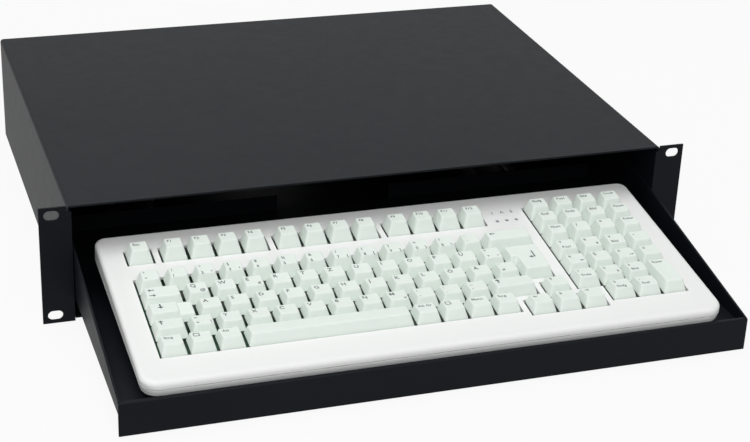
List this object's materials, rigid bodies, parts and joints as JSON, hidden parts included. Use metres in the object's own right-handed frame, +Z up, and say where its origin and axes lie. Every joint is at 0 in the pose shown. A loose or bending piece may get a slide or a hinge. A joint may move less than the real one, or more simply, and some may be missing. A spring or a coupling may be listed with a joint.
{
  "type": "rack keyboard tray",
  "caption": "Black sheet-steel rack housing with slotted ears and a pull-out tray on ball slides that holds a pale compact keyboard.",
  "frame": {"origin": "centre of the four rack slots, on the front face of the ears", "axes": "+X to the right seen from the front, +Y back into the rack, +Z up; the tray is stored drawn out towards -Y"},
  "size_m": [0.4826, 0.4936, 0.0882],
  "materials": {
    "black_paint": "fine-textured black powder coat",
    "steel": "bright zinc plated",
    "case_plastic": "fine-grained moulded plastic, off-white",
    "keycap_plastic": "smooth matt moulded plastic, off-white",
    "board": "solder-resist lacquer",
    "switch_plastic": "plain moulded",
    "light_lens": "translucent moulded lens",
    "foot_rubber": "matt rubber"
  },
  "bodies": {
    "housing": {"housing_shell": "black_paint", "left_rack_ear": "black_paint", "right_rack_ear": "black_paint", "base_plate": "black_paint", "rear_panel": "black_paint", "left_outer_rail": "steel", "right_outer_rail": "steel"},
    "ball_cages": {"left_ball_cage": "steel", "right_ball_cage": "steel", "left_rail_balls": "steel", "right_rail_balls": "steel"},
    "tray": {"tray_pan": "black_paint", "tray_front": "black_paint", "left_inner_rail": "steel", "right_inner_rail": "steel", "keyboard_base": "case_plastic", "keyboard_cover": "case_plastic", "circuit_board": "board", "key_switches": "switch_plastic", "status_lights": "light_lens", "keyboard_feet": "foot_rubber"},
    "left_foot": {"left_tilt_foot": "case_plastic"},
    "right_foot": {"right_tilt_foot": "case_plastic"},
    "pressed_escape_key": {"escape_key": "keycap_plastic"},
    "pressed_function_keys_left": {"function_keys_left": "keycap_plastic"},
    "pressed_function_keys_middle": {"function_keys_middle": "keycap_plastic"},
    "pressed_function_keys_right": {"function_keys_right": "keycap_plastic"},
    "pressed_number_keys": {"number_keys": "keycap_plastic"},
    "pressed_backspace_key": {"backspace_key": "keycap_plastic"},
    "pressed_tab_key": {"tab_key": "keycap_plastic"},
    "pressed_upper_letter_keys": {"upper_letter_keys": "keycap_plastic"},
    "pressed_enter_key": {"enter_key": "keycap_plastic"},
    "pressed_caps_lock_key": {"caps_lock_key": "keycap_plastic"},
    "pressed_home_letter_keys": {"home_letter_keys": "keycap_plastic"},
    "pressed_left_shift_key": {"left_shift_key": "keycap_plastic"},
    "pressed_lower_letter_keys": {"lower_letter_keys": "keycap_plastic"},
    "pressed_right_shift_key": {"right_shift_key": "keycap_plastic"},
    "pressed_left_control_key": {"left_control_key": "keycap_plastic"},
    "pressed_left_system_key": {"left_system_key": "keycap_plastic"},
    "pressed_left_alt_key": {"left_alt_key": "keycap_plastic"},
    "pressed_space_bar": {"space_bar": "keycap_plastic"},
    "pressed_right_alt_key": {"right_alt_key": "keycap_plastic"},
    "pressed_right_system_key": {"right_system_key": "keycap_plastic"},
    "pressed_menu_key": {"menu_key": "keycap_plastic"},
    "pressed_right_control_key": {"right_control_key": "keycap_plastic"},
    "pressed_left_arrow_key": {"left_arrow_key": "keycap_plastic"},
    "pressed_down_arrow_key": {"down_arrow_key": "keycap_plastic"},
    "pressed_right_arrow_key": {"right_arrow_key": "keycap_plastic"},
    "pressed_up_arrow_key": {"up_arrow_key": "keycap_plastic"},
    "pressed_navigation_keys_upper": {"navigation_keys_upper": "keycap_plastic"},
    "pressed_navigation_keys_lower": {"navigation_keys_lower": "keycap_plastic"},
    "pressed_pad_keys_top": {"pad_keys_top": "keycap_plastic"},
    "pressed_pad_keys_upper": {"pad_keys_upper": "keycap_plastic"},
    "pressed_pad_keys_middle": {"pad_keys_middle": "keycap_plastic"},
    "pressed_pad_keys_lower": {"pad_keys_lower": "keycap_plastic"},
    "pressed_pad_keys_bottom": {"pad_keys_bottom": "keycap_plastic"},
    "pressed_pad_enter_key": {"pad_enter_key": "keycap_plastic"}
  },
  "joints": [
    {"name": "tray_slide", "type": "slide", "parent": "housing", "child": "tray", "axis": [0, -1, 0], "range_m": [-0.1522, 0.032]},
    {"name": "cage_slide", "type": "slide", "parent": "housing", "child": "ball_cages", "axis": [0, -1, 0], "range_m": [-0.0762, 0.0161]},
    {"name": "left_foot_hinge", "type": "hinge", "parent": "tray", "child": "left_foot", "pos_m": [-0.10999, 0.00003, -0.01358], "axis": [-1, 0, 0], "range_deg": [0, 85]},
    {"name": "right_foot_hinge", "type": "hinge", "parent": "tray", "child": "right_foot", "pos_m": [0.10999, 0.00003, -0.01358], "axis": [-1, 0, 0], "range_deg": [0, 85]},
    {"name": "press_escape_key", "type": "slide", "parent": "tray", "child": "pressed_escape_key", "axis": [0, 0.1288, -0.9917], "range_m": [0, 0.004], "stiffness_N_per_m": 100, "springref_m": -0.003},
    {"name": "press_function_keys_left", "type": "slide", "parent": "tray", "child": "pressed_function_keys_left", "axis": [0, 0.1288, -0.9917], "range_m": [0, 0.004], "stiffness_N_per_m": 400, "springref_m": -0.003},
    {"name": "press_function_keys_middle", "type": "slide", "parent": "tray", "child": "pressed_function_keys_middle", "axis": [0, 0.1288, -0.9917], "range_m": [0, 0.004], "stiffness_N_per_m": 400, "springref_m": -0.003},
    {"name": "press_function_keys_right", "type": "slide", "parent": "tray", "child": "pressed_function_keys_right", "axis": [0, 0.1288, -0.9917], "range_m": [0, 0.004], "stiffness_N_per_m": 400, "springref_m": -0.003},
    {"name": "press_number_keys", "type": "slide", "parent": "tray", "child": "pressed_number_keys", "axis": [0, 0.1288, -0.9917], "range_m": [0, 0.004], "stiffness_N_per_m": 1300, "springref_m": -0.003},
    {"name": "press_backspace_key", "type": "slide", "parent": "tray", "child": "pressed_backspace_key", "axis": [0, 0.1288, -0.9917], "range_m": [0, 0.004], "stiffness_N_per_m": 100, "springref_m": -0.003},
    {"name": "press_tab_key", "type": "slide", "parent": "tray", "child": "pressed_tab_key", "axis": [0, 0.1288, -0.9917], "range_m": [0, 0.004], "stiffness_N_per_m": 100, "springref_m": -0.003},
    {"name": "press_upper_letter_keys", "type": "slide", "parent": "tray", "child": "pressed_upper_letter_keys", "axis": [0, 0.1288, -0.9917], "range_m": [0, 0.004], "stiffness_N_per_m": 1200, "springref_m": -0.003},
    {"name": "press_enter_key", "type": "slide", "parent": "tray", "child": "pressed_enter_key", "axis": [0, 0.1288, -0.9917], "range_m": [0, 0.004], "stiffness_N_per_m": 100, "springref_m": -0.003},
    {"name": "press_caps_lock_key", "type": "slide", "parent": "tray", "child": "pressed_caps_lock_key", "axis": [0, 0.1288, -0.9917], "range_m": [0, 0.004], "stiffness_N_per_m": 100, "springref_m": -0.003},
    {"name": "press_home_letter_keys", "type": "slide", "parent": "tray", "child": "pressed_home_letter_keys", "axis": [0, 0.1288, -0.9917], "range_m": [0, 0.004], "stiffness_N_per_m": 1200, "springref_m": -0.003},
    {"name": "press_left_shift_key", "type": "slide", "parent": "tray", "child": "pressed_left_shift_key", "axis": [0, 0.1288, -0.9917], "range_m": [0, 0.004], "stiffness_N_per_m": 100, "springref_m": -0.003},
    {"name": "press_lower_letter_keys", "type": "slide", "parent": "tray", "child": "pressed_lower_letter_keys", "axis": [0, 0.1288, -0.9917], "range_m": [0, 0.004], "stiffness_N_per_m": 1100, "springref_m": -0.003},
    {"name": "press_right_shift_key", "type": "slide", "parent": "tray", "child": "pressed_right_shift_key", "axis": [0, 0.1288, -0.9917], "range_m": [0, 0.004], "stiffness_N_per_m": 100, "springref_m": -0.003},
    {"name": "press_left_control_key", "type": "slide", "parent": "tray", "child": "pressed_left_control_key", "axis": [0, 0.1288, -0.9917], "range_m": [0, 0.004], "stiffness_N_per_m": 100, "springref_m": -0.003},
    {"name": "press_left_system_key", "type": "slide", "parent": "tray", "child": "pressed_left_system_key", "axis": [0, 0.1288, -0.9917], "range_m": [0, 0.004], "stiffness_N_per_m": 100, "springref_m": -0.003},
    {"name": "press_left_alt_key", "type": "slide", "parent": "tray", "child": "pressed_left_alt_key", "axis": [0, 0.1288, -0.9917], "range_m": [0, 0.004], "stiffness_N_per_m": 100, "springref_m": -0.003},
    {"name": "press_space_bar", "type": "slide", "parent": "tray", "child": "pressed_space_bar", "axis": [0, 0.1288, -0.9917], "range_m": [0, 0.004], "stiffness_N_per_m": 100, "springref_m": -0.003},
    {"name": "press_right_alt_key", "type": "slide", "parent": "tray", "child": "pressed_right_alt_key", "axis": [0, 0.1288, -0.9917], "range_m": [0, 0.004], "stiffness_N_per_m": 100, "springref_m": -0.003},
    {"name": "press_right_system_key", "type": "slide", "parent": "tray", "child": "pressed_right_system_key", "axis": [0, 0.1288, -0.9917], "range_m": [0, 0.004], "stiffness_N_per_m": 100, "springref_m": -0.003},
    {"name": "press_menu_key", "type": "slide", "parent": "tray", "child": "pressed_menu_key", "axis": [0, 0.1288, -0.9917], "range_m": [0, 0.004], "stiffness_N_per_m": 100, "springref_m": -0.003},
    {"name": "press_right_control_key", "type": "slide", "parent": "tray", "child": "pressed_right_control_key", "axis": [0, 0.1288, -0.9917], "range_m": [0, 0.004], "stiffness_N_per_m": 100, "springref_m": -0.003},
    {"name": "press_left_arrow_key", "type": "slide", "parent": "tray", "child": "pressed_left_arrow_key", "axis": [0, 0.1288, -0.9917], "range_m": [0, 0.004], "stiffness_N_per_m": 100, "springref_m": -0.003},
    {"name": "press_down_arrow_key", "type": "slide", "parent": "tray", "child": "pressed_down_arrow_key", "axis": [0, 0.1288, -0.9917], "range_m": [0, 0.004], "stiffness_N_per_m": 100, "springref_m": -0.003},
    {"name": "press_right_arrow_key", "type": "slide", "parent": "tray", "child": "pressed_right_arrow_key", "axis": [0, 0.1288, -0.9917], "range_m": [0, 0.004], "stiffness_N_per_m": 100, "springref_m": -0.003},
    {"name": "press_up_arrow_key", "type": "slide", "parent": "tray", "child": "pressed_up_arrow_key", "axis": [0, 0.1288, -0.9917], "range_m": [0, 0.004], "stiffness_N_per_m": 100, "springref_m": -0.003},
    {"name": "press_navigation_keys_upper", "type": "slide", "parent": "tray", "child": "pressed_navigation_keys_upper", "axis": [0, 0.1288, -0.9917], "range_m": [0, 0.004], "stiffness_N_per_m": 400, "springref_m": -0.003},
    {"name": "press_navigation_keys_lower", "type": "slide", "parent": "tray", "child": "pressed_navigation_keys_lower", "axis": [0, 0.1288, -0.9917], "range_m": [0, 0.004], "stiffness_N_per_m": 400, "springref_m": -0.003},
    {"name": "press_pad_keys_top", "type": "slide", "parent": "tray", "child": "pressed_pad_keys_top", "axis": [0, 0.1288, -0.9917], "range_m": [0, 0.004], "stiffness_N_per_m": 400, "springref_m": -0.003},
    {"name": "press_pad_keys_upper", "type": "slide", "parent": "tray", "child": "pressed_pad_keys_upper", "axis": [0, 0.1288, -0.9917], "range_m": [0, 0.004], "stiffness_N_per_m": 400, "springref_m": -0.003},
    {"name": "press_pad_keys_middle", "type": "slide", "parent": "tray", "child": "pressed_pad_keys_middle", "axis": [0, 0.1288, -0.9917], "range_m": [0, 0.004], "stiffness_N_per_m": 400, "springref_m": -0.003},
    {"name": "press_pad_keys_lower", "type": "slide", "parent": "tray", "child": "pressed_pad_keys_lower", "axis": [0, 0.1288, -0.9917], "range_m": [0, 0.004], "stiffness_N_per_m": 300, "springref_m": -0.003},
    {"name": "press_pad_keys_bottom", "type": "slide", "parent": "tray", "child": "pressed_pad_keys_bottom", "axis": [0, 0.1288, -0.9917], "range_m": [0, 0.004], "stiffness_N_per_m": 200, "springref_m": -0.003},
    {"name": "press_pad_enter_key", "type": "slide", "parent": "tray", "child": "pressed_pad_enter_key", "axis": [0, 0.1288, -0.9917], "range_m": [0, 0.004], "stiffness_N_per_m": 100, "springref_m": -0.003}
  ],
  "couplings": [
    {"joint": "cage_slide", "follows": "tray_slide", "ratio": 0.5}
  ]
}
